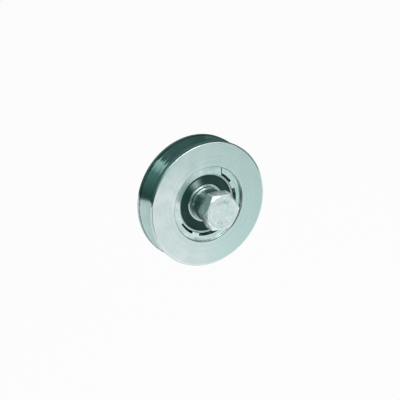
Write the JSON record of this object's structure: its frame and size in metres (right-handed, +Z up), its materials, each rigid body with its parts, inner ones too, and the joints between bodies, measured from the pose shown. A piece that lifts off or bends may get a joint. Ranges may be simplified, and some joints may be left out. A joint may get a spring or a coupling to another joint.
{
  "type": "v groove wheel",
  "caption": "Steel track wheel with a V groove round its rim, turning on a sealed ball bearing that is held by a split ring, with flanged bushes and a hexagon head axle bolt.",
  "frame": {"origin": "the middle of the wheel, on its axis, midway between its two faces", "axes": "+Y along the axle from the bolt head to the thread, +Z up, +X to the right seen from the bolt head"},
  "size_m": [0.08, 0.0738, 0.08],
  "materials": {
    "plated_wheel": "zinc plated, turned faces, satin",
    "spring_ring": "zinc plated spring steel, stamped",
    "bearing_steel": "ground bearing steel",
    "ball_steel": "polished",
    "cage_steel": "pressed sheet steel, dull",
    "seal_rubber": "black nitrile rubber, satin",
    "bush_steel": "turned, bright",
    "plated_bolt": "zinc plated, satin"
  },
  "bodies": {
    "axle": {"axle_bolt": "plated_bolt", "front_bush": "bush_steel", "rear_bush": "bush_steel", "bearing_inner_ring": "bearing_steel"},
    "wheel": {"wheel_body": "plated_wheel", "retaining_ring": "spring_ring", "bearing_outer_ring": "bearing_steel", "seal_front": "seal_rubber", "seal_rear": "seal_rubber"},
    "cage": {"cage_front": "cage_steel", "cage_rear": "cage_steel", "cage_rivets": "cage_steel"},
    "ball_1": {"ball_1": "ball_steel"},
    "ball_2": {"ball_2": "ball_steel"},
    "ball_3": {"ball_3": "ball_steel"},
    "ball_4": {"ball_4": "ball_steel"},
    "ball_5": {"ball_5": "ball_steel"},
    "ball_6": {"ball_6": "ball_steel"},
    "ball_7": {"ball_7": "ball_steel"},
    "ball_8": {"ball_8": "ball_steel"}
  },
  "joints": [
    {"name": "wheel_spin", "type": "hinge", "parent": "axle", "child": "wheel", "pos_m": [0, 0, 0], "axis": [0, 1, 0], "continuous": true},
    {"name": "cage_turn", "type": "hinge", "parent": "axle", "child": "cage", "pos_m": [0, 0, 0], "axis": [0, 1, 0], "continuous": true},
    {"name": "ball_1_roll", "type": "hinge", "parent": "cage", "child": "ball_1", "pos_m": [0.01425, 0, 0], "axis": [0, 1, 0], "continuous": true},
    {"name": "ball_2_roll", "type": "hinge", "parent": "cage", "child": "ball_2", "pos_m": [0.01008, 0, 0.01008], "axis": [0, 1, 0], "continuous": true},
    {"name": "ball_3_roll", "type": "hinge", "parent": "cage", "child": "ball_3", "pos_m": [0, 0, 0.01425], "axis": [0, 1, 0], "continuous": true},
    {"name": "ball_4_roll", "type": "hinge", "parent": "cage", "child": "ball_4", "pos_m": [-0.01008, 0, 0.01008], "axis": [0, 1, 0], "continuous": true},
    {"name": "ball_5_roll", "type": "hinge", "parent": "cage", "child": "ball_5", "pos_m": [-0.01425, 0, 0], "axis": [0, 1, 0], "continuous": true},
    {"name": "ball_6_roll", "type": "hinge", "parent": "cage", "child": "ball_6", "pos_m": [-0.01008, 0, -0.01008], "axis": [0, 1, 0], "continuous": true},
    {"name": "ball_7_roll", "type": "hinge", "parent": "cage", "child": "ball_7", "pos_m": [0, 0, -0.01425], "axis": [0, 1, 0], "continuous": true},
    {"name": "ball_8_roll", "type": "hinge", "parent": "cage", "child": "ball_8", "pos_m": [0.01008, 0, -0.01008], "axis": [0, 1, 0], "continuous": true}
  ],
  "couplings": [
    {"joint": "cage_turn", "follows": "wheel_spin", "ratio": 0.61842},
    {"joint": "ball_1_roll", "follows": "wheel_spin", "ratio": 1.9927},
    {"joint": "ball_2_roll", "follows": "wheel_spin", "ratio": 1.9927},
    {"joint": "ball_3_roll", "follows": "wheel_spin", "ratio": 1.9927},
    {"joint": "ball_4_roll", "follows": "wheel_spin", "ratio": 1.9927},
    {"joint": "ball_5_roll", "follows": "wheel_spin", "ratio": 1.9927},
    {"joint": "ball_6_roll", "follows": "wheel_spin", "ratio": 1.9927},
    {"joint": "ball_7_roll", "follows": "wheel_spin", "ratio": 1.9927},
    {"joint": "ball_8_roll", "follows": "wheel_spin", "ratio": 1.9927}
  ]
}
